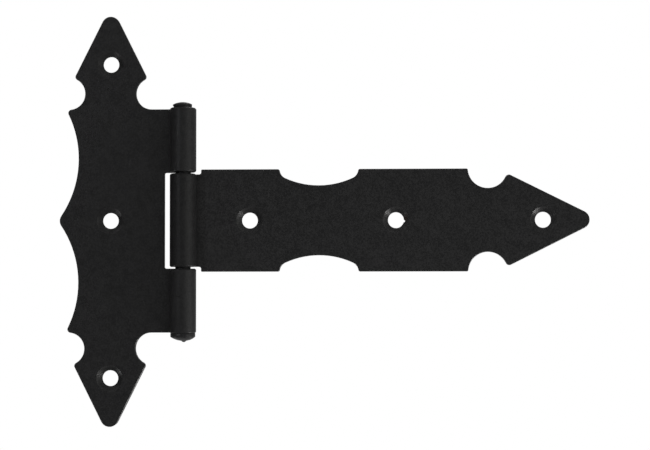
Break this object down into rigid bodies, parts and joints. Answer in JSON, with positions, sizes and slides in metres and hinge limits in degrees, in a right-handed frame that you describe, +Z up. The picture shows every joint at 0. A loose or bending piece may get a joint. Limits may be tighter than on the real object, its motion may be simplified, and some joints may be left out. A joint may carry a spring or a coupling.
{
  "type": "ornamental t hinge",
  "caption": "Black T-hinge: an upright leaf with pointed ends and rolled knuckles, a long waisted strap leaf with an arrow tip, and a riveted pin.",
  "frame": {"origin": "middle screw hole of the jamb leaf, on the leaf's back face", "axes": "+Z up along the pin, +X out to the tip of the strap leaf, -Y towards the viewer; both leaves lie back on the plane Y = 0 with the hinge open flat"},
  "size_m": [0.1999, 0.0099, 0.1556],
  "materials": {
    "black_coat": "matt fine-texture black powder coat on sheet steel",
    "pin_coat": "the same coat over a steel rivet pin"
  },
  "bodies": {
    "jamb": {"jamb_leaf": "black_coat", "hinge_pin": "pin_coat"},
    "strap": {"strap_leaf": "black_coat"}
  },
  "joints": [
    {"name": "hinge_fold", "type": "hinge", "parent": "jamb", "child": "strap", "pos_m": [0.0282, -0.00495, 0], "axis": [0, 0, 1], "range_deg": [-185, 100]}
  ]
}
